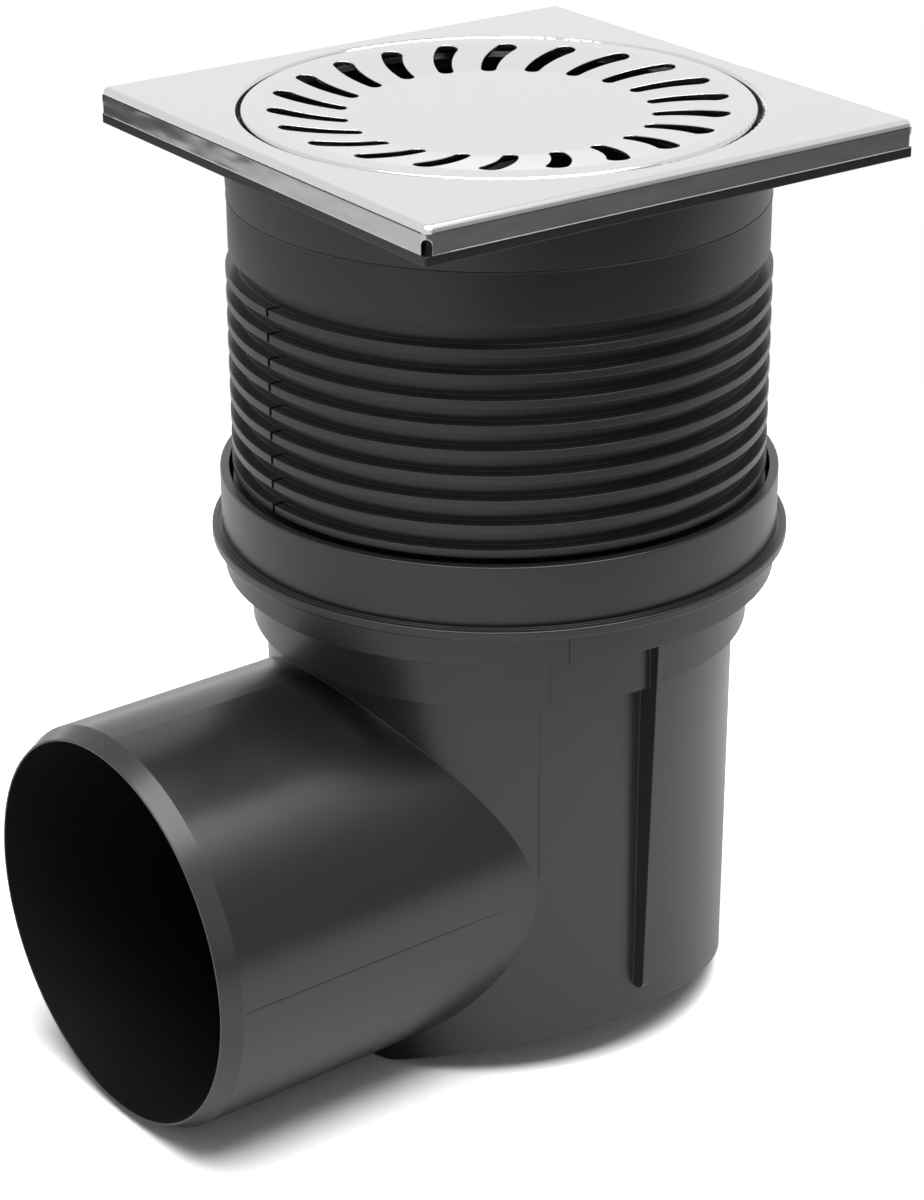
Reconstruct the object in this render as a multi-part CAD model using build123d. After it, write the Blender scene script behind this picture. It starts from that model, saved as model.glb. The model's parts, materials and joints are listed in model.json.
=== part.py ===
from build123d import *
from math import radians, sqrt, tan
import os

# Floor drain for a 110 mm waste pipe: a side-outlet bowl, a ribbed height sleeve,
# a folded steel frame with a slotted grate, and a lift-out bell trap inside.
# The drain's axis is Z, the floor it stands on is z = 0, and the spigot points to -X.

# Spigot for the waste pipe's socket
SPIGOT_RADIUS = 55.0
SPIGOT_WALL = 3.0
SPIGOT_REACH = 130.0
SPIGOT_STANDOFF = 0.3
SPIGOT_BEVEL_LENGTH = 5.0
SPIGOT_BEVEL_DEPTH = 2.5
SPIGOT_FIT_LENGTH = 56.0
SPIGOT_ROOT_DRAFT = 0.25

# Bowl, with a flat strip to stand on and sides that rise from it
BOWL_RADIUS = 63.2
BOWL_DRAFT = 0.7
BOWL_HEIGHT = 113.6
BOWL_WALL = 3.0
FOOT_HALF_WIDTH = 24.7
FOOT_RISE_ANGLE = 19.8
FOOT_FOLD_ROUND = 10.0
BOWL_EDGE_ROUND = 0.8

# Stepped bands between the bowl and the socket
STEP_LEDGE = 3.6
STEP_HEIGHT = 15.2
BAND_HEIGHT = 8.5
FLANGE_LIP = 2.7
FLANGE_THICKNESS = 2.5
RIM_HEIGHT = 16.5
SOCKET_WALL = 2.45
BAND_WALL = 1.9
EDGE_ROUND = 0.4

# Thin upright ribs on the bowl's two flanks
RIB_OFFSET = 3.0
RIB_THICKNESS = 1.8
RIB_FOOT_HEIGHT = 22.0
RIB_REACH_TOP = 7.4
RIB_REACH_BOTTOM = 3.9
RIB_FOOT_ROUND = 2.5

# Height sleeve: smooth neck, saw-cut rings and a flare under the frame
SLEEVE_TURN = -2.64
SLEEVE_LIFT = 0.3
RING_RADIUS = 71.6
RING_DEPTH = 3.3
RING_THICKNESS = 2.1
RING_PITCH = 6.62
RING_COUNT = 12
FIRST_RING = 6.4
NECK_STEP = 0.85
NECK_HEIGHT = 13.9
NECK_GAP = 5.1
FLARE_HEIGHT = 21.1
FLARE_WIDTH = 1.0
SLEEVE_WALL = 2.8
NOTCH_WIDTH = 1.2
SOCKET_CLEARANCE = 1.0
SOCKET_FLOOR = 3.0

# Square plastic flange that carries the frame
PAD_RIM_HEIGHT = 8.4
PAD_THICKNESS = 3.0
PAD_RIM_WALL = 2.5
PAD_CORNER_ROUND = 3.0
PAD_EDGE_ROUND = 1.0
PAD_RIB_THICKNESS = 2.0
PAD_CLEARANCE = 0.5
PAD_LIP_SETBACK = 0.2
PAD_LIP_GAP = 0.15
PAD_LIP_CORNER_ROUND = 1.0

# Frame, folded from steel sheet: how far it stands out past the rings, and its hole in from them
FRAME_MARGIN = 3.4
HOLE_MARGIN = 4.2
FRAME_SHEET = 1.2
FRAME_DEPTH = 7.1
FRAME_BEND = 2.0
FRAME_CORNER_ROUND = 2.2
FRAME_HOLE_ROUND = 1.0
RELIEF_WIDTH = 2.6
RELIEF_HEIGHT = 3.9

# Grate, pressed to a shallow dish with curved slots, whose ends are set in from its edge
GRATE_GAP = 1.0
GRATE_SHEET = 1.0
GRATE_RIM_WIDTH = 5.9
GRATE_RIM_DEPTH = 4.5
GRATE_EDGE_ROUND = 1.0
DISH_DEPTH = 2.3
DISH_SLOPE_WIDTH = 20.5
DISH_BEND = 15.0
SLOT_COUNT = 22
SLOT_START_ANGLE = 19.0
SLOT_INSETS = (25.3, 9.6)
SLOT_OFFSETS = (4.4, 3.4, 0.25)
SLOT_HALF_WIDTHS = (2.1, 2.55, 2.9)

# Seats inside the sleeve
GRATE_SEAT_WIDTH = 4.9
GRATE_SEAT_THICKNESS = 2.5
POT_SEAT_DEPTH = 24.0
POT_SEAT_WIDTH = 9.0
POT_SEAT_THICKNESS = 3.0

# Sealing ring between the sleeve and the socket, in the second groove from the end
SEAL_SIDE_GAP = 0.1
SEAL_RUNNING_GAP = 0.05
SEAL_ROUND = 0.9

# Lift-out trap: pot with a standpipe, gasket, and bell
GASKET_THICKNESS = 2.0
POT_RIM_THICKNESS = 2.5
POT_RIM_CLEARANCE = 0.7
POT_SIDE_CLEARANCE = 2.0
POT_WALL = 2.2
POT_DEPTH = 78.0
STANDPIPE_RADIUS = 25.0
STANDPIPE_HEIGHT = 58.0
BELL_GAP = 10.0
BELL_WALL = 2.0
BELL_SKIRT_GAP = 8.0
BELL_HEADROOM = 12.0
BELL_CROWN_ROUND = 8.0
BELL_RIB_COUNT = 3
BELL_RIB_THICKNESS = 2.0
BELL_RIB_OVERLAP = 1.5
BELL_RIB_DROP = 8.0
BELL_RIB_CLEARANCE = 0.4
GRIP_LENGTH = 30.0
GRIP_THICKNESS = 4.0
GRIP_HEIGHT = 9.0

# Heights, stacked from the floor up
shelf_low = BOWL_HEIGHT + BOWL_WALL
band_bottom = BOWL_HEIGHT + STEP_HEIGHT
flange_bottom = band_bottom + BAND_HEIGHT
flange_top = flange_bottom + FLANGE_THICKNESS
rim_top = flange_top + RIM_HEIGHT
socket_floor = band_bottom + SOCKET_FLOOR
sleeve_bottom = socket_floor + SLEEVE_LIFT
last_ring = sleeve_bottom + FIRST_RING
first_ring = last_ring + RING_PITCH * (RING_COUNT - 1)
neck_bottom = first_ring + RING_THICKNESS / 2 + NECK_GAP
neck_top = neck_bottom + NECK_HEIGHT
pad_top = neck_top + FLARE_HEIGHT
pad_bottom = pad_top - PAD_RIM_HEIGHT
top = pad_top + FRAME_SHEET
skirt_bottom = top - FRAME_DEPTH
grate_seat = top - GRATE_RIM_DEPTH
pot_seat = top - POT_SEAT_DEPTH
pot_rim_bottom = pot_seat + GASKET_THICKNESS
pot_bottom = pot_rim_bottom - POT_DEPTH
pot_floor = pot_bottom + POT_WALL
standpipe_top = pot_floor + STANDPIPE_HEIGHT
bell_ceiling = standpipe_top + BELL_HEADROOM
bell_top = bell_ceiling + BELL_WALL

# Radii, worked out from what fits in what
spigot_height = SPIGOT_RADIUS + SPIGOT_STANDOFF
spigot_bore = SPIGOT_RADIUS - SPIGOT_WALL
spigot_root = SPIGOT_REACH - SPIGOT_BEVEL_LENGTH - SPIGOT_FIT_LENGTH
bowl_top_radius = BOWL_RADIUS + BOWL_DRAFT
step_radius = bowl_top_radius + STEP_LEDGE
socket_radius = RING_RADIUS + SOCKET_CLEARANCE
rim_radius = socket_radius + SOCKET_WALL
band_radius = socket_radius + BAND_WALL
flange_radius = rim_radius + FLANGE_LIP
core_radius = RING_RADIUS - RING_DEPTH
neck_radius = RING_RADIUS - NECK_STEP
sleeve_bore = core_radius - SLEEVE_WALL
frame_side = 2 * (RING_RADIUS + FRAME_MARGIN)
hole_radius = RING_RADIUS - HOLE_MARGIN
seat_bore = hole_radius - GRATE_SEAT_WIDTH
pot_seat_bore = sleeve_bore - POT_SEAT_WIDTH
grate_radius = hole_radius - GRATE_GAP
pot_rim_radius = seat_bore - POT_RIM_CLEARANCE
pot_radius = pot_seat_bore - POT_SIDE_CLEARANCE
bell_bore = STANDPIPE_RADIUS + BELL_GAP
pad_side = frame_side - 2 * (FRAME_SHEET + PAD_CLEARANCE)
lip_side = frame_side - 2 * PAD_LIP_SETBACK

# Cutters run past the faces that they open by this much
OVERRUN = 1.0


def turned(points, rounds=None):
    """A solid of revolution about Z from (radius, height) corners.

    rounds gives some corners, by their place in the list, a radius of their own.
    """
    face = make_face(Polyline(*points, close=True))
    for place, radius in (rounds or {}).items():
        x, y = points[place]
        corner = face.vertices().sort_by_distance(Vector(x, y, 0))[0]
        face = fillet(corner, radius)
    return revolve(Plane.XZ * face, Axis.Z)


def upright(radius, bottom, height):
    """A cylinder about Z that starts at a height."""
    return Pos(0, 0, bottom) * Cylinder(radius, height, align=(Align.CENTER, Align.CENTER, Align.MIN))


def block(size_x, size_y, bottom, height):
    """A box centred on Z that starts at a height."""
    box = Box(size_x, size_y, height, align=(Align.CENTER, Align.CENTER, Align.MIN))
    return Pos(0, 0, bottom) * box


def foot_prism(lift, half_length, height):
    """The space above the standing strip and its rising sides, lifted by a wall."""
    slope = tan(radians(FOOT_RISE_ANGLE))
    edge = flange_radius
    rise = (edge - FOOT_HALF_WIDTH) * slope
    outline = Polyline(
        (-FOOT_HALF_WIDTH, lift),
        (FOOT_HALF_WIDTH, lift),
        (edge, lift + rise),
        (edge, height),
        (-edge, height),
        (-edge, lift + rise),
        close=True,
    )
    return extrude(Plane.YZ * make_face(outline), half_length, both=True)


def bowl_shell():
    """The bowl's outside, a drafted cylinder cut to its sloping underside."""
    wall = Pos(0, 0, BOWL_HEIGHT / 2) * Cone(BOWL_RADIUS, bowl_top_radius, BOWL_HEIGHT)
    bowl = wall & foot_prism(0, flange_radius, rim_top)
    folds = bowl.edges().filter_by(Axis.X).group_by(Axis.Z)[0]
    bowl = fillet(folds, FOOT_FOLD_ROUND)
    underside = bowl.edges().filter_by_position(Axis.Z, 0, BOWL_HEIGHT / 2)
    rim = [edge for edge in underside if edge.geom_type != GeomType.LINE]
    return fillet(rim, BOWL_EDGE_ROUND)


def spigot_turning(radius, outline_end):
    """A solid along the spigot: drafted root, then a true cylinder, then the given end."""
    outline = [(0, 0), (radius + SPIGOT_ROOT_DRAFT, 0), (radius, spigot_root)] + outline_end
    return Pos(0, 0, spigot_height) * Rot(0, -90, 0) * turned(outline)


def spigot_shell():
    """The spigot's outside, with the bevel that leads it into a pipe socket."""
    tip = SPIGOT_RADIUS - SPIGOT_BEVEL_DEPTH
    bevel_start = SPIGOT_REACH - SPIGOT_BEVEL_LENGTH
    return spigot_turning(SPIGOT_RADIUS, [(SPIGOT_RADIUS, bevel_start), (tip, SPIGOT_REACH), (0, SPIGOT_REACH)])


def spigot_hollow():
    """The spigot's bore, past its mouth."""
    end = SPIGOT_REACH + OVERRUN
    return spigot_turning(spigot_bore, [(spigot_bore, end), (0, end)])


def socket_shell():
    """The bands, flange and rim on top of the bowl."""
    outline = [
        (0, BOWL_HEIGHT),
        (step_radius, BOWL_HEIGHT),
        (step_radius, band_bottom),
        (band_radius, band_bottom),
        (band_radius, flange_bottom),
        (flange_radius, flange_bottom),
        (flange_radius, flange_top),
        (rim_radius, flange_top),
        (rim_radius, rim_top),
        (0, rim_top),
    ]
    return turned(outline, {corner: EDGE_ROUND for corner in (5, 6, 8)})


def flank_rib():
    """One thin upright rib, on the flank at -Y, with its foot rounded."""
    root = BOWL_RADIUS - BOWL_WALL / 2
    outline = Polyline(
        (-root, RIB_FOOT_HEIGHT),
        (-BOWL_RADIUS - RIB_REACH_BOTTOM, RIB_FOOT_HEIGHT),
        (-BOWL_RADIUS - RIB_REACH_TOP, band_bottom),
        (-root, band_bottom),
        close=True,
    )
    face = make_face(outline)
    corner = face.vertices().sort_by_distance(Vector(-BOWL_RADIUS - RIB_REACH_BOTTOM, RIB_FOOT_HEIGHT, 0))[0]
    face = fillet(corner, RIB_FOOT_ROUND)
    rib = extrude(Plane.YZ * face, RIB_THICKNESS / 2, both=True)
    return Pos(-RIB_OFFSET, 0, 0) * rib


def trap_body():
    """The moulded bowl with its spigot, bands, socket and flank ribs, hollowed in one go."""
    rib = flank_rib()
    body = bowl_shell() + spigot_shell() + socket_shell() + rib + mirror(rib, Plane.XZ)
    inner_top = bowl_top_radius - BOWL_WALL
    inner_bottom = BOWL_RADIUS - BOWL_WALL
    hollow = Pos(0, 0, shelf_low / 2) * Cone(inner_bottom, inner_top, shelf_low)
    hollow = hollow & foot_prism(BOWL_WALL, flange_radius, rim_top)
    body -= hollow
    body -= upright(step_radius - BOWL_WALL, shelf_low, rim_top)
    body -= upright(socket_radius, socket_floor, rim_top)
    return body - spigot_hollow()


def sleeve_outline():
    """The sleeve's section: ringed outside, two seats inside."""
    outline = [(sleeve_bore, sleeve_bottom), (core_radius, sleeve_bottom)]
    for ring in range(RING_COUNT):
        middle = last_ring + RING_PITCH * ring
        low = middle - RING_THICKNESS / 2
        high = middle + RING_THICKNESS / 2
        outline += [(core_radius, low), (RING_RADIUS, low), (RING_RADIUS, high), (core_radius, high)]
    outline += [
        (core_radius, neck_bottom),
        (neck_radius, neck_bottom),
        (neck_radius, neck_top),
        (neck_radius + FLARE_WIDTH, pad_top),
        (hole_radius, pad_top),
        (hole_radius, grate_seat),
        (seat_bore, grate_seat),
        (seat_bore, grate_seat - GRATE_SEAT_THICKNESS),
        (sleeve_bore, grate_seat - GRATE_SEAT_THICKNESS - (sleeve_bore - seat_bore)),
        (sleeve_bore, pot_seat),
        (pot_seat_bore, pot_seat),
        (pot_seat_bore, pot_seat - POT_SEAT_THICKNESS),
        (sleeve_bore, pot_seat - POT_SEAT_THICKNESS - POT_SEAT_WIDTH / 2),
    ]
    return outline


def square_pad():
    """The square flange: a plate that fills the frame, with a ribbed rim and a lip under the skirts."""
    pad = block(pad_side, pad_side, pad_bottom, PAD_RIM_HEIGHT)
    pad = fillet(pad.edges().filter_by(Axis.Z), PAD_CORNER_ROUND)
    pad = fillet(pad.faces().sort_by(Axis.Z)[-1].edges(), PAD_EDGE_ROUND)
    lip = block(lip_side, lip_side, pad_bottom, skirt_bottom - PAD_LIP_GAP - pad_bottom)
    pad += fillet(lip.edges().filter_by(Axis.Z), PAD_LIP_CORNER_ROUND)
    inside = pad_side - 2 * PAD_RIM_WALL
    pad -= block(inside, inside, pad_bottom, PAD_RIM_HEIGHT - PAD_THICKNESS)
    rib_height = PAD_RIM_HEIGHT - PAD_THICKNESS
    diagonal = sqrt(2) * inside
    for angle in (0, 45, 90, 135):
        length = inside if angle % 90 == 0 else diagonal
        rib = block(length, PAD_RIB_THICKNESS, pad_bottom, rib_height)
        pad += Rot(0, 0, angle) * rib
    return pad - upright(neck_radius, pad_bottom - OVERRUN, PAD_RIM_HEIGHT + 2 * OVERRUN)


def riser_sleeve():
    """The ringed sleeve and its square flange, with the assembly mark cut through the rings."""
    sleeve = turned(sleeve_outline()) + square_pad()
    sleeve -= upright(hole_radius, grate_seat, top)
    reach = RING_RADIUS - core_radius + OVERRUN
    height = first_ring - last_ring + RING_PITCH
    notch = block(reach, NOTCH_WIDTH, last_ring - RING_PITCH / 2, height)
    sleeve -= Pos(-core_radius - reach / 2, 0, 0) * notch
    return sleeve


def frame_plate():
    """The folded steel frame, open at its four corners below the bend."""
    bottom = skirt_bottom
    frame = block(frame_side, frame_side, bottom, FRAME_DEPTH)
    frame = fillet(frame.edges().filter_by(Axis.Z), FRAME_CORNER_ROUND)
    frame = fillet(frame.faces().sort_by(Axis.Z)[-1].edges(), FRAME_BEND)
    inside = frame_side - 2 * FRAME_SHEET
    pocket = block(inside, inside, bottom, FRAME_DEPTH - FRAME_SHEET)
    pocket = fillet(pocket.edges().filter_by(Axis.Z), FRAME_CORNER_ROUND - FRAME_SHEET)
    frame -= fillet(pocket.faces().sort_by(Axis.Z)[-1].edges(), FRAME_BEND - FRAME_SHEET)
    frame -= upright(hole_radius, bottom, FRAME_DEPTH)
    hole_edges = frame.edges().filter_by(GeomType.CIRCLE).sort_by(SortBy.RADIUS)[-2:]
    frame = fillet(hole_edges.sort_by(Axis.Z)[-1], FRAME_HOLE_ROUND)
    return frame - corner_reliefs(bottom)


def corner_reliefs(bottom):
    """Round-ended slots that keep the folded skirts apart at the corners."""
    slot = RELIEF_HEIGHT - RELIEF_WIDTH / 2
    reach = 4 * FRAME_CORNER_ROUND
    distance = frame_side / sqrt(2)
    cutter = block(reach, RELIEF_WIDTH, bottom, slot)
    cutter += Pos(0, 0, bottom + slot) * Rot(0, 90, 0) * Cylinder(RELIEF_WIDTH / 2, reach)
    cutters = [Rot(0, 0, 45 + 90 * corner) * Pos(distance, 0, 0) * cutter for corner in range(4)]
    return Compound(cutters)


def slot_face():
    """One slot's outline: two arcs that widen outwards, closed by round ends."""
    inner, outer = (grate_radius - inset for inset in SLOT_INSETS)
    middle = (inner + outer) / 2
    centres = [Vector(x, y) for x, y in zip((inner, middle, outer), SLOT_OFFSETS)]
    bow = ThreePointArc(*centres)
    hub = bow.arc_center
    normals = [(point - hub).normalized() for point in centres]
    outside = [point + normal * half for point, normal, half in zip(centres, normals, SLOT_HALF_WIDTHS)]
    inside = [point - normal * half for point, normal, half in zip(centres, normals, SLOT_HALF_WIDTHS)]
    inner_tip = centres[0] - (bow % 0) * SLOT_HALF_WIDTHS[0]
    outer_tip = centres[2] + (bow % 1) * SLOT_HALF_WIDTHS[2]
    edges = [
        ThreePointArc(*outside),
        ThreePointArc(outside[2], outer_tip, inside[2]),
        ThreePointArc(*inside),
        ThreePointArc(inside[0], inner_tip, outside[0]),
    ]
    return make_face(edges)


def grate():
    """The pressed grate: a turned-down rim, a shallow dish and a ring of curved slots."""
    floor = top - DISH_DEPTH
    shoulder = grate_radius - GRATE_RIM_WIDTH
    floor_edge = shoulder - DISH_SLOPE_WIDTH
    inside = grate_radius - GRATE_SHEET
    outline = [
        (0, floor),
        (floor_edge, floor),
        (shoulder, top),
        (grate_radius, top),
        (grate_radius, grate_seat),
        (inside, grate_seat),
        (inside, top - GRATE_SHEET),
        (shoulder, top - GRATE_SHEET),
        (floor_edge, floor - GRATE_SHEET),
        (0, floor - GRATE_SHEET),
    ]
    rounds = {1: DISH_BEND, 2: DISH_BEND, 3: GRATE_EDGE_ROUND, 7: DISH_BEND, 8: DISH_BEND}
    plate = turned(outline, rounds)
    depth = DISH_DEPTH + GRATE_SHEET + 2 * OVERRUN
    slot = Pos(0, 0, floor - GRATE_SHEET - OVERRUN) * extrude(slot_face(), depth)
    pitch = 360 / SLOT_COUNT
    slots = [Rot(0, 0, SLOT_START_ANGLE + pitch * place) * slot for place in range(SLOT_COUNT)]
    return plate - Compound(slots)


def riser_seal():
    """The rubber ring that grips the socket, held between two of the sleeve's rings."""
    low = last_ring + RING_THICKNESS / 2 + SEAL_SIDE_GAP
    high = last_ring + RING_PITCH - RING_THICKNESS / 2 - SEAL_SIDE_GAP
    inner = core_radius + SEAL_RUNNING_GAP
    outer = socket_radius - SEAL_RUNNING_GAP
    outline = [(inner, low), (outer, low), (outer, high), (inner, high)]
    return turned(outline, {1: SEAL_ROUND, 2: SEAL_ROUND})


def trap_pot():
    """The pot that hangs in the sleeve, with the standpipe that sets its water level."""
    inner_pipe = STANDPIPE_RADIUS - POT_WALL
    outline = [
        (inner_pipe, pot_bottom),
        (pot_radius, pot_bottom),
        (pot_radius, pot_rim_bottom),
        (pot_rim_radius, pot_rim_bottom),
        (pot_rim_radius, pot_rim_bottom + POT_RIM_THICKNESS),
        (pot_radius - POT_WALL, pot_rim_bottom + POT_RIM_THICKNESS),
        (pot_radius - POT_WALL, pot_floor),
        (STANDPIPE_RADIUS, pot_floor),
        (STANDPIPE_RADIUS, standpipe_top),
        (inner_pipe, standpipe_top),
    ]
    return turned(outline, {1: POT_WALL})


def pot_gasket():
    """The flat rubber ring under the pot's rim."""
    outline = [
        (pot_seat_bore, pot_seat),
        (pot_rim_radius, pot_seat),
        (pot_rim_radius, pot_rim_bottom),
        (pot_seat_bore, pot_rim_bottom),
    ]
    return turned(outline)


def trap_bell():
    """The bell that dips into the pot's water, standing on the standpipe by three ribs."""
    skirt = pot_floor + BELL_SKIRT_GAP
    outer = bell_bore + BELL_WALL
    outline = [
        (bell_bore, skirt),
        (outer, skirt),
        (outer, bell_top),
        (0, bell_top),
        (0, bell_ceiling),
        (bell_bore, bell_ceiling),
    ]
    bell = turned(outline, {2: BELL_CROWN_ROUND, 5: BELL_CROWN_ROUND - BELL_WALL})
    rib_start = STANDPIPE_RADIUS - POT_WALL - BELL_RIB_OVERLAP
    rib_length = bell_bore + BELL_WALL / 2 - rib_start
    rib_foot = standpipe_top - BELL_RIB_DROP
    rib_height = bell_ceiling + BELL_WALL / 2 - rib_foot
    rib = Pos(rib_start + rib_length / 2, 0, 0) * block(rib_length, BELL_RIB_THICKNESS, rib_foot, rib_height)
    rib -= upright(STANDPIPE_RADIUS + BELL_RIB_CLEARANCE, rib_foot, BELL_RIB_DROP)
    for turn in range(BELL_RIB_COUNT):
        bell += Rot(0, 0, 360 / BELL_RIB_COUNT * turn) * rib
    return bell + block(GRIP_LENGTH, GRIP_THICKNESS, bell_ceiling, BELL_WALL + GRIP_HEIGHT)


def main():
    """Writes one STEP file for each piece."""
    os.makedirs("parts", exist_ok=True)
    fixed = {"trap_body": trap_body(), "riser_seal": riser_seal()}
    turning = {
        "riser_sleeve": riser_sleeve(),
        "frame_plate": frame_plate(),
        "grate": grate(),
        "trap_pot": trap_pot(),
        "pot_gasket": pot_gasket(),
        "trap_bell": trap_bell(),
    }
    for name, shape in fixed.items():
        export_step(shape, f"parts/{name}.step")
    for name, shape in turning.items():
        export_step(Rot(0, 0, SLEEVE_TURN) * shape, f"parts/{name}.step")
    print("plate top at", round(top, 2), "mm; socket floor at", round(socket_floor, 2), "mm")


main()
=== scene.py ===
"""A floor drain: black moulded bowl and ribbed sleeve under a satin stainless frame and grate."""

import json
import math

import bpy
from mathutils import Matrix, Vector


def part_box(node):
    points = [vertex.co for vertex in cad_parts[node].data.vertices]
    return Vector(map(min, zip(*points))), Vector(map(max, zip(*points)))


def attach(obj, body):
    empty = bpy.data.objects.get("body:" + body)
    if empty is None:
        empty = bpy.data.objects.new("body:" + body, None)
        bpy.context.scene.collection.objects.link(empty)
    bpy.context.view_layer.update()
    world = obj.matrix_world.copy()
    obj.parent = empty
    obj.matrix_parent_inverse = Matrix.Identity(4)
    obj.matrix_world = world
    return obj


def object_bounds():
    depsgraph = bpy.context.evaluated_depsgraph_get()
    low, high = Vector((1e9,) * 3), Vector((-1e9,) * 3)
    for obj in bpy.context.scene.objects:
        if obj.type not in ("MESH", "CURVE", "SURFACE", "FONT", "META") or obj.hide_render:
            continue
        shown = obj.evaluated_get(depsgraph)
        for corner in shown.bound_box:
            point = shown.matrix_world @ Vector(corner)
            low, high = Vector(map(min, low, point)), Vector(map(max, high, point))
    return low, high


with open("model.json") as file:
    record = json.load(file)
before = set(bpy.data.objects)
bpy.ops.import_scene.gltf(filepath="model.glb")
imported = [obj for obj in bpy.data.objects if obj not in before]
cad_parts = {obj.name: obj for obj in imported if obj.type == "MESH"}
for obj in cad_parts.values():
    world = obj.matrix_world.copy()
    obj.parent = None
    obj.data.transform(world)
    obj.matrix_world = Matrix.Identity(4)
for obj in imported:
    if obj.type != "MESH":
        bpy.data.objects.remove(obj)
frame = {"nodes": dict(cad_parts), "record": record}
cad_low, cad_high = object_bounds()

MM = 0.001

# The photograph's camera, worked out from the frame's corners and the spigot's mouth
CAMERA_AZIMUTH = math.radians(232.14)
CAMERA_ELEVATION = math.radians(24.54)
CAMERA_ROLL = math.radians(-0.33)
CAMERA_DISTANCE = 859.94 * MM
CAMERA_SIDE_STEP = -10.21 * MM
CAMERA_AIM_HEIGHT = 113.4 * MM
LENS_MM = 93.78
SENSOR_MM = 36.0

# The room lights the drain softly from all round, and the steel and plastic mirror it brighter
ROOM_LIGHT = 0.16
ROOM_SEEN = 0.85
PLAIN_WHITE = 1.0

# One side of the studio is dark, whole as far as the core angle and gone past the edge angle
DARK_SIDE_AZIMUTH = math.radians(304)
DARK_SIDE_RISE = math.radians(6)
DARK_SIDE_CORE = math.radians(24)
DARK_SIDE_EDGE = math.radians(36)
DARK_SIDE_SEEN = 0.38

# A lit backdrop stands behind the drain, as the camera sees it, and glows along its foot
BACKDROP_AZIMUTH = math.radians(52)
BACKDROP_CORE = math.radians(27)
BACKDROP_EDGE = math.radians(45)
BACKDROP_SEEN = 0.97
BACKDROP_FOOT_SEEN = 3.0
BACKDROP_FOOT_RISE = 0.05

# The floor reaches this far to each side of the drain's axis, in metres
FLOOR_REACH = 6.0

# Its middle is a table top on which the steel and plastic mirror a painted pool of light, brighter near
# the drain than far
TABLE_NEAR = 0.22
TABLE_FAR = 0.65
PAINTED_POOL_NEAR_TONE = 1.0
PAINTED_POOL_FAR_TONE = 0.66

# The table's edges lie between these distances from its middle line, with a dark floor past them
TABLE_MIDDLE_Y = 0.165
TABLE_EDGE_START = 0.59
TABLE_EDGE_END = 0.66
PAST_TABLE_TONE = 0.18

# Its paint as it lights the drain, the tone that brings it out white round the shadow, and where
# the shadow has ended and all is plain white
TABLE_PAINT = 0.88
TABLE_IN_VIEW = 1.75
SHADOW_END = 0.32
ALL_WHITE_START = 0.5

# The floor carries a painted glow that rises between these distances towards the backdrop, where its foot
# would light it
FLOOR_GLOW_START = 1.0
FLOOR_GLOW_END = 1.6
FLOOR_GLOW_SEEN = 2.2

# The softbox, from the drain's middle
SOFTBOX_OFFSET = Vector((-0.06, -0.25, 1.35))
SOFTBOX_WIDTH = 1.5
SOFTBOX_DEPTH = 1.2
SOFTBOX_WATTS = 31.0

# The mould's parting plane stands across the spigot at this x, and shows on four stepped walls
SEAM_X = -31.0 * MM
SEAM_WALLS = (  # radius, lowest, highest, width, how far it stands out
    (77.75, 137.5, 139.6, 0.3, 0.10),
    (74.5, 128.9, 137.3, 0.7, 0.30),
    (67.5, 113.7, 128.8, 0.4, 0.16),
    (63.75, 62.0, 113.6, 0.3, 0.12),
)

# Each seam's ridge is rooted this deep in the wall that carries it
SEAM_ROOT = 0.4 * MM

# The mould's other parting line runs along both sides of the spigot, at its axis
SPIGOT_RADIUS = 55.0 * MM
SPIGOT_AXIS_HEIGHT = 55.3 * MM
SPIGOT_LINE_START = 6.0 * MM
SPIGOT_LINE_WIDTH = 0.3 * MM
SPIGOT_LINE_PROUD = 0.1 * MM

# Ring sections as (radius, height) corners in millimetres
NECK_LINE = ((70.4, 231.2), (70.9, 231.25), (70.9, 231.55), (70.4, 231.6))
FLANGE_BEAD = ((76.1, 139.6), (76.1, 140.0), (76.5, 140.0), (76.5, 139.6))
RING_STEPS = 240

# The sleeve stands turned in its socket by this much, and the frame with it
SLEEVE_TURN = math.radians(-2.64)

# The frame's sheared edge stops short of its open corners by the gap, and its section is
# (outward, upward) corners in millimetres from the skirt's foot
FRAME_HALF_SIDE = 75.0 * MM
SKIRT_CORNER_GAP = 7.0 * MM
SKIRT_EDGE = ((-0.3, 0.0), (0.1, 0.0), (0.1, 0.12), (-0.12, 0.34), (-0.3, 0.34))


def make_camera():
    """A long lens that looks down on the drain from the spigot's side."""
    forward_flat = Vector((-math.cos(CAMERA_AZIMUTH), -math.sin(CAMERA_AZIMUTH), 0))
    right = Vector((-math.sin(CAMERA_AZIMUTH), math.cos(CAMERA_AZIMUTH), 0))
    forward = forward_flat * math.cos(CAMERA_ELEVATION) - Vector((0, 0, math.sin(CAMERA_ELEVATION)))
    up = right.cross(forward)
    aim = right * CAMERA_SIDE_STEP + Vector((0, 0, CAMERA_AIM_HEIGHT))
    tilted_right = right * math.cos(CAMERA_ROLL) + up * math.sin(CAMERA_ROLL)
    tilted_up = up * math.cos(CAMERA_ROLL) - right * math.sin(CAMERA_ROLL)
    lens = bpy.data.cameras.new("camera")
    lens.lens = LENS_MM
    lens.sensor_width = SENSOR_MM
    camera = bpy.data.objects.new("camera", lens)
    turn = Matrix((tilted_right, tilted_up, -forward)).transposed().to_4x4()
    camera.matrix_world = Matrix.Translation(aim - forward * CAMERA_DISTANCE) @ turn
    bpy.context.scene.collection.objects.link(camera)
    bpy.context.scene.camera = camera


def heading(azimuth, rise=0.0):
    """The direction out from the drain at an azimuth, sloped up by the rise."""
    return (math.cos(azimuth), math.sin(azimuth), math.tan(rise))


def linear(hex_colour):
    """An sRGB hex colour as linear light, with alpha."""
    channels = [int(hex_colour[place:place + 2], 16) / 255 for place in (1, 3, 5)]
    return [c / 12.92 if c <= 0.04045 else ((c + 0.055) / 1.055) ** 2.4 for c in channels] + [1.0]


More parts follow.
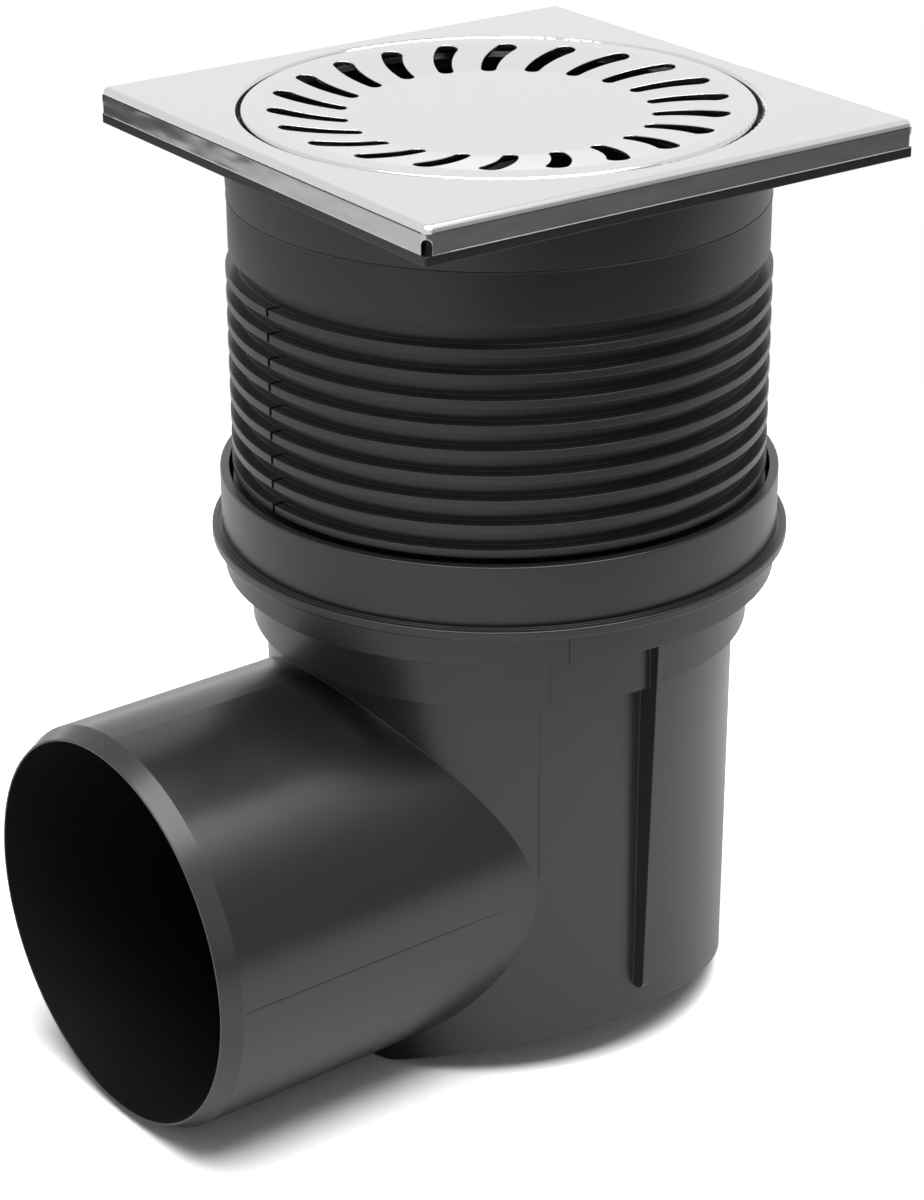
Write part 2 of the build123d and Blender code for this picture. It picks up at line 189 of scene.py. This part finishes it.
def add(tree, kind, settings=None, **links):
    """A shader node with its settings, and each named input fed by a socket or set to a value.

    An input is named as Blender names it, with _ for a space, or as _0, _1 by its place.
    """
    node = tree.nodes.new(kind)
    for name, value in (settings or {}).items():
        setattr(node, name, value)
    for name, value in links.items():
        key = int(name[1:]) if name[0] == "_" else name.replace("_", " ")
        if isinstance(value, bpy.types.NodeSocket):
            tree.links.new(value, node.inputs[key])
        else:
            node.inputs[key].default_value = value
    return node


def blank_material(name):
    """A new material with an empty tree and its output node."""
    material = bpy.data.materials.new(name)
    material.use_nodes = True
    material.node_tree.nodes.clear()
    output = add(material.node_tree, "ShaderNodeOutputMaterial")
    return material, material.node_tree, output


def satin_stainless(name, wave_height=0.0, edge_radius=0.3):
    """Cold-rolled stainless sheet: it mirrors the studio softly, and its edges catch the light.

    A folded skirt also has long soft waves, which break what it mirrors into streaks.
    """
    # The rolled grain is finer than a pixel, so it is drawn this coarse to show at all
    grain_size = 0.4 * MM
    cloud_size = 18 * MM
    wave_size = 16 * MM
    fold_depth = 2.2 * MM
    material, tree, output = blank_material(name)
    place = add(tree, "ShaderNodeTexCoord").outputs["Object"]
    grain = add(tree, "ShaderNodeTexNoise", Vector=place, Scale=1 / grain_size, Detail=3.0)
    cloud = add(tree, "ShaderNodeTexNoise", Vector=place, Scale=1 / cloud_size, Detail=2.0)
    rough = add(tree, "ShaderNodeMapRange", Value=cloud.outputs["Fac"], To_Min=0.11, To_Max=0.17)
    edge = add(tree, "ShaderNodeBevel", {"samples": 4}, Radius=edge_radius * MM).outputs["Normal"]
    bump = add(tree, "ShaderNodeBump", Strength=0.03, Distance=0.02 * MM, Height=grain.outputs["Fac"],
               Normal=edge)
    if wave_height:
        height = add(tree, "ShaderNodeSeparateXYZ", Vector=place).outputs["Z"]
        on_skirt = add(tree, "ShaderNodeMath", {"operation": "LESS_THAN"},
                       _0=height, _1=cad_high.z - fold_depth)
        squeezed = add(tree, "ShaderNodeMapping", Vector=place, Scale=(1.0, 1.0, 2.5))
        wave = add(tree, "ShaderNodeTexNoise", Vector=squeezed.outputs["Vector"], Scale=1 / wave_size,
                   Detail=1.0, Distortion=0.3)
        bump = add(tree, "ShaderNodeBump", Strength=on_skirt.outputs["Value"], Distance=wave_height * MM,
                   Height=wave.outputs["Fac"], Normal=bump.outputs["Normal"])
    steel = add(tree, "ShaderNodeBsdfPrincipled", Base_Color=linear("#E3E2E0"), Metallic=1.0,
                Roughness=rough.outputs["Result"], Normal=bump.outputs["Normal"])
    tree.links.new(steel.outputs["BSDF"], output.inputs["Surface"])
    return material


def black_polypropylene():
    """Injection-moulded polypropylene in black: a half-gloss skin, a little uneven."""
    # The mould's texture is finer than a pixel, so it is drawn this coarse to show at all
    grain_size = 0.35 * MM
    cloud_size = 25 * MM
    edge_radius = 0.35 * MM
    material, tree, output = blank_material("black_moulded_polypropylene")
    place = add(tree, "ShaderNodeTexCoord").outputs["Object"]
    grain = add(tree, "ShaderNodeTexNoise", Vector=place, Scale=1 / grain_size, Detail=4.0)
    cloud = add(tree, "ShaderNodeTexNoise", Vector=place, Scale=1 / cloud_size, Detail=3.0)
    rough = add(tree, "ShaderNodeMapRange", Value=cloud.outputs["Fac"], To_Min=0.26, To_Max=0.33)
    edge = add(tree, "ShaderNodeBevel", {"samples": 4}, Radius=edge_radius).outputs["Normal"]
    bump = add(tree, "ShaderNodeBump", Strength=0.12, Distance=0.03 * MM, Height=grain.outputs["Fac"],
               Normal=edge)
    plastic = add(tree, "ShaderNodeBsdfPrincipled", Base_Color=linear("#1F1F20"), IOR=1.49,
                  Specular_IOR_Level=0.66, Roughness=rough.outputs["Result"],
                  Normal=bump.outputs["Normal"])
    tree.links.new(plastic.outputs["BSDF"], output.inputs["Surface"])
    return material


def black_rubber():
    """Moulded EPDM rubber: a dull black that barely shines."""
    # Its skin's texture is drawn coarse too
    grain_size = 0.5 * MM
    material, tree, output = blank_material("black_moulded_rubber")
    place = add(tree, "ShaderNodeTexCoord").outputs["Object"]
    grain = add(tree, "ShaderNodeTexNoise", Vector=place, Scale=1 / grain_size, Detail=3.0)
    bump = add(tree, "ShaderNodeBump", Strength=0.25, Distance=0.04 * MM, Height=grain.outputs["Fac"])
    rubber = add(tree, "ShaderNodeBsdfPrincipled", Base_Color=linear("#1A1A1A"), IOR=1.52,
                 Roughness=0.75, Normal=bump.outputs["Normal"])
    tree.links.new(rubber.outputs["BSDF"], output.inputs["Surface"])
    return material


def studio_floor():
    """A matt white table top that the camera sees as pure white, with the drain's own shadow.

    The steel and plastic mirror it with painted light: a pool brightest by the drain and dimmer
    further out, and a glow far behind where the backdrop would light it. Past its two long
    edges it is dark.
    """
    material, tree, output = blank_material("matt_white_table_top")
    rays = add(tree, "ShaderNodeLightPath")
    place = add(tree, "ShaderNodeTexCoord").outputs["Object"]
    reach = add(tree, "ShaderNodeVectorMath", {"operation": "LENGTH"}, _0=place)

    # The paint's tone, in turn as mirrored with its painted pool of light, as a light and as the camera
    # sees it
    painted_light_pool = add(tree, "ShaderNodeMapRange", Value=reach.outputs["Value"], From_Min=TABLE_NEAR,
              From_Max=TABLE_FAR, To_Min=PAINTED_POOL_NEAR_TONE, To_Max=PAINTED_POOL_FAR_TONE)
    across = add(tree, "ShaderNodeSeparateXYZ", Vector=place)
    off_centre = add(tree, "ShaderNodeMath", {"operation": "SUBTRACT"},
                     _0=across.outputs["Y"], _1=TABLE_MIDDLE_Y)
    from_middle = add(tree, "ShaderNodeMath", {"operation": "ABSOLUTE"}, _0=off_centre.outputs["Value"])
    on_table = add(tree, "ShaderNodeMapRange", Value=from_middle.outputs["Value"],
                   From_Min=TABLE_EDGE_START, From_Max=TABLE_EDGE_END, To_Min=1.0, To_Max=PAST_TABLE_TONE)
    mirrored = add(tree, "ShaderNodeMath", {"operation": "MULTIPLY"},
                   _0=painted_light_pool.outputs["Result"], _1=on_table.outputs["Result"])
    diffused = add(tree, "ShaderNodeMath", {"operation": "MULTIPLY"},
                   _0=TABLE_PAINT, _1=on_table.outputs["Result"])
    tone = add(tree, "ShaderNodeMapRange", Value=rays.outputs["Is Glossy Ray"],
               To_Min=diffused.outputs["Value"], To_Max=mirrored.outputs["Value"])
    tone = add(tree, "ShaderNodeMapRange", Value=rays.outputs["Is Camera Ray"],
               To_Min=tone.outputs["Result"], To_Max=TABLE_IN_VIEW)
    card = add(tree, "ShaderNodeBsdfDiffuse", Color=tone.outputs["Result"])

    # Past the drain's shadow the camera sees plain white
    past_shadow = add(tree, "ShaderNodeMapRange", Value=reach.outputs["Value"],
                      From_Min=SHADOW_END, From_Max=ALL_WHITE_START)
    plain_white = add(tree, "ShaderNodeEmission", Strength=PLAIN_WHITE)
    seen_plain = add(tree, "ShaderNodeMath", {"operation": "MULTIPLY"},
                     _0=rays.outputs["Is Camera Ray"], _1=past_shadow.outputs["Result"])
    surface = add(tree, "ShaderNodeMixShader", Fac=seen_plain.outputs["Value"],
                  _1=card.outputs["BSDF"], _2=plain_white.outputs["Emission"])

    # Far behind the drain the steel and plastic mirror a painted glow on the floor, where the backdrop's
    # foot would light it
    behind = add(tree, "ShaderNodeVectorMath", {"operation": "DOT_PRODUCT"},
                 _0=place, _1=heading(BACKDROP_AZIMUTH))
    near_backdrop = add(tree, "ShaderNodeMapRange", Value=behind.outputs["Value"],
                        From_Min=FLOOR_GLOW_START, From_Max=FLOOR_GLOW_END)
    mirrored_far = add(tree, "ShaderNodeMath", {"operation": "MULTIPLY"},
                       _0=rays.outputs["Is Glossy Ray"], _1=near_backdrop.outputs["Result"])
    painted_backdrop_glow = add(tree, "ShaderNodeEmission", Strength=FLOOR_GLOW_SEEN)
    surface = add(tree, "ShaderNodeMixShader", Fac=mirrored_far.outputs["Value"],
                  _1=surface.outputs["Shader"], _2=painted_backdrop_glow.outputs["Emission"])
    tree.links.new(surface.outputs["Shader"], output.inputs["Surface"])
    return material


def mesh_object(name, points, faces, material):
    """A new object from points and faces, with one material."""
    mesh = bpy.data.meshes.new(name)
    mesh.from_pydata([tuple(point) for point in points], [], faces)
    made = bpy.data.objects.new(name, mesh)
    made.data.materials.append(material)
    bpy.context.scene.collection.objects.link(made)
    return made


def make_floor():
    """A wide plane at the height that the bowl stands on."""
    corners = [(x * FLOOR_REACH, y * FLOOR_REACH, 0) for x, y in ((-1, -1), (1, -1), (1, 1), (-1, 1))]
    floor = mesh_object("studio_floor", corners, [(0, 1, 2, 3)], studio_floor())
    floor.location.z = cad_low.z


def make_world():
    """A white room, softer as a light, whose backdrop and dark side only show as reflections."""
    world = bpy.data.worlds.new("white_room")
    world.use_nodes = True
    tree = world.node_tree
    tree.nodes.clear()
    rays = add(tree, "ShaderNodeLightPath")
    outward = add(tree, "ShaderNodeTexCoord").outputs["Generated"]

    # The backdrop glows at its foot and fades into the room at its two sides
    height = add(tree, "ShaderNodeSeparateXYZ", Vector=outward).outputs["Z"]
    backdrop = add(tree, "ShaderNodeMapRange", {"interpolation_type": "SMOOTHSTEP"}, Value=height,
                   From_Min=0.0, From_Max=BACKDROP_FOOT_RISE,
                   To_Min=BACKDROP_FOOT_SEEN, To_Max=BACKDROP_SEEN)
    behind = add(tree, "ShaderNodeVectorMath", {"operation": "DOT_PRODUCT"},
                 _0=outward, _1=heading(BACKDROP_AZIMUTH))
    backdrop = add(tree, "ShaderNodeMapRange", Value=behind.outputs["Value"],
                   From_Min=math.cos(BACKDROP_EDGE), From_Max=math.cos(BACKDROP_CORE),
                   To_Min=ROOM_SEEN, To_Max=backdrop.outputs["Result"])

    # The dark side lies over both
    facing = add(tree, "ShaderNodeVectorMath", {"operation": "DOT_PRODUCT"},
                 _0=outward, _1=heading(DARK_SIDE_AZIMUTH, DARK_SIDE_RISE))
    mirrored = add(tree, "ShaderNodeMapRange", Value=facing.outputs["Value"],
                   From_Min=math.cos(DARK_SIDE_EDGE), From_Max=math.cos(DARK_SIDE_CORE),
                   To_Min=backdrop.outputs["Result"], To_Max=DARK_SIDE_SEEN)

    # The room's strength as mirrored, as a light, and as the camera sees it
    strength = add(tree, "ShaderNodeMapRange", Value=rays.outputs["Is Glossy Ray"],
                   To_Min=ROOM_LIGHT, To_Max=mirrored.outputs["Result"])
    seen = add(tree, "ShaderNodeMath", {"operation": "MAXIMUM"},
               _0=rays.outputs["Is Camera Ray"], _1=rays.outputs["Is Transmission Ray"])
    strength = add(tree, "ShaderNodeMapRange", Value=seen.outputs["Value"],
                   To_Min=strength.outputs["Result"], To_Max=PLAIN_WHITE)
    room = add(tree, "ShaderNodeBackground", Color=(1, 1, 1, 1), Strength=strength.outputs["Result"])
    output = add(tree, "ShaderNodeOutputWorld")
    tree.links.new(room.outputs["Background"], output.inputs["Surface"])
    bpy.context.scene.world = world


def make_lights():
    """One large softbox almost straight overhead, a little towards the camera."""
    middle = (cad_low + cad_high) / 2
    lamp = bpy.data.lights.new("overhead_softbox", "AREA")
    lamp.shape = "RECTANGLE"
    lamp.size = SOFTBOX_WIDTH
    lamp.size_y = SOFTBOX_DEPTH
    lamp.energy = SOFTBOX_WATTS
    softbox = bpy.data.objects.new("overhead_softbox", lamp)
    softbox.location = middle + SOFTBOX_OFFSET
    softbox.rotation_euler = (-SOFTBOX_OFFSET).to_track_quat("-Z", "Y").to_euler()
    bpy.context.scene.collection.objects.link(softbox)


def dress_cad_nodes(plastic, rubber, steel, skirt_steel):
    """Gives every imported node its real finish."""
    finishes = {"moulded_plastic": plastic, "seal_rubber": rubber, "stainless_sheet": steel}
    for part in frame["record"]["subparts"]:
        node = frame["nodes"][part["node"]]
        node.data.materials.clear()
        node.data.materials.append(finishes[part["material_slot"]])
    frame["nodes"]["frame_plate"].data.materials[0] = skirt_steel


def add_box(points, faces, origin, across, out, up):
    """Adds one box to a list of points and faces, from its corner and its three edges."""
    start = len(points)
    for a in (0, 1):
        for b in (0, 1):
            for c in (0, 1):
                points.append(origin + across * a + out * b + up * c)
    for face in ((0, 1, 3, 2), (4, 6, 7, 5), (0, 4, 5, 1), (2, 3, 7, 6), (0, 2, 6, 4), (1, 5, 7, 3)):
        faces.append(tuple(start + corner for corner in face))


def mould_seam(plastic):
    """The fine ridge that the mould's halves leave on the bowl's walls and the spigot's sides."""
    points, faces = [], []
    line_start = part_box("trap_body")[0].x + SPIGOT_LINE_START
    for side in (-1, 1):
        for radius, low, high, width, proud in SEAM_WALLS:
            y = side * math.sqrt((radius * MM) ** 2 - SEAM_X ** 2)
            wall = Vector((SEAM_X, y, low * MM))
            out = Vector((SEAM_X, y, 0)).normalized()
            across = Vector((-out.y, out.x, 0)) * width * MM
            add_box(points, faces, wall - out * SEAM_ROOT - across / 2, across,
                    out * (SEAM_ROOT + proud * MM), Vector((0, 0, (high - low) * MM)))
        line_foot = Vector((line_start, side * (SPIGOT_RADIUS - SEAM_ROOT),
                            SPIGOT_AXIS_HEIGHT - SPIGOT_LINE_WIDTH / 2))
        add_box(points, faces, line_foot, Vector((SEAM_X - line_start, 0, 0)),
                Vector((0, side * (SEAM_ROOT + SPIGOT_LINE_PROUD), 0)),
                Vector((0, 0, SPIGOT_LINE_WIDTH)))
    seam = mesh_object("mould_seam", points, faces, plastic)
    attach(seam, "bowl")


def moulded_ring(name, section, plastic, body):
    """A fine moulded ring about the drain's axis, from its section's corners."""
    points, faces = [], []
    for step in range(RING_STEPS):
        turn = 2 * math.pi * step / RING_STEPS
        points += [(r * MM * math.cos(turn), r * MM * math.sin(turn), z * MM) for r, z in section]
    corners = len(section)
    for step in range(RING_STEPS):
        here = step * corners
        there = (step + 1) % RING_STEPS * corners
        for corner in range(corners):
            after = (corner + 1) % corners
            faces.append((here + corner, there + corner, there + after, here + after))
    made = mesh_object(name, points, faces, plastic)
    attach(made, body)


def skirt_edge(steel):
    """The bright sheared edge along the foot of the frame's four skirts."""
    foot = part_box("frame_plate")[0].z
    half_length = FRAME_HALF_SIDE - SKIRT_CORNER_GAP
    corners = len(SKIRT_EDGE)
    points, faces = [], []
    for quarter in range(4):
        turn = Matrix.Rotation(SLEEVE_TURN + quarter * math.pi / 2, 3, "Z")
        start = len(points)
        for along in (-half_length, half_length):
            for out, up in SKIRT_EDGE:
                points.append(turn @ Vector((FRAME_HALF_SIDE + out * MM, along, foot + up * MM)))
        for corner in range(corners):
            after = (corner + 1) % corners
            faces.append((start + corner, start + corners + corner,
                          start + corners + after, start + after))
        faces.append(tuple(start + corner for corner in range(corners)))
        faces.append(tuple(start + corners + corner for corner in reversed(range(corners))))
    edge = mesh_object("skirt_edge", points, faces, steel)
    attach(edge, "riser")


make_camera()
make_world()
make_floor()
make_lights()
plastic = black_polypropylene()
steel = satin_stainless("satin_stainless_sheet")
folded_steel = satin_stainless("folded_stainless_sheet", wave_height=0.25)
dress_cad_nodes(plastic, black_rubber(), steel, folded_steel)
mould_seam(plastic)
moulded_ring("neck_mould_line", NECK_LINE, plastic, "riser")
moulded_ring("flange_bead", FLANGE_BEAD, plastic, "bowl")
skirt_edge(satin_stainless("sheared_stainless_edge", edge_radius=0.05))
bpy.context.scene.view_settings.view_transform = "Standard"
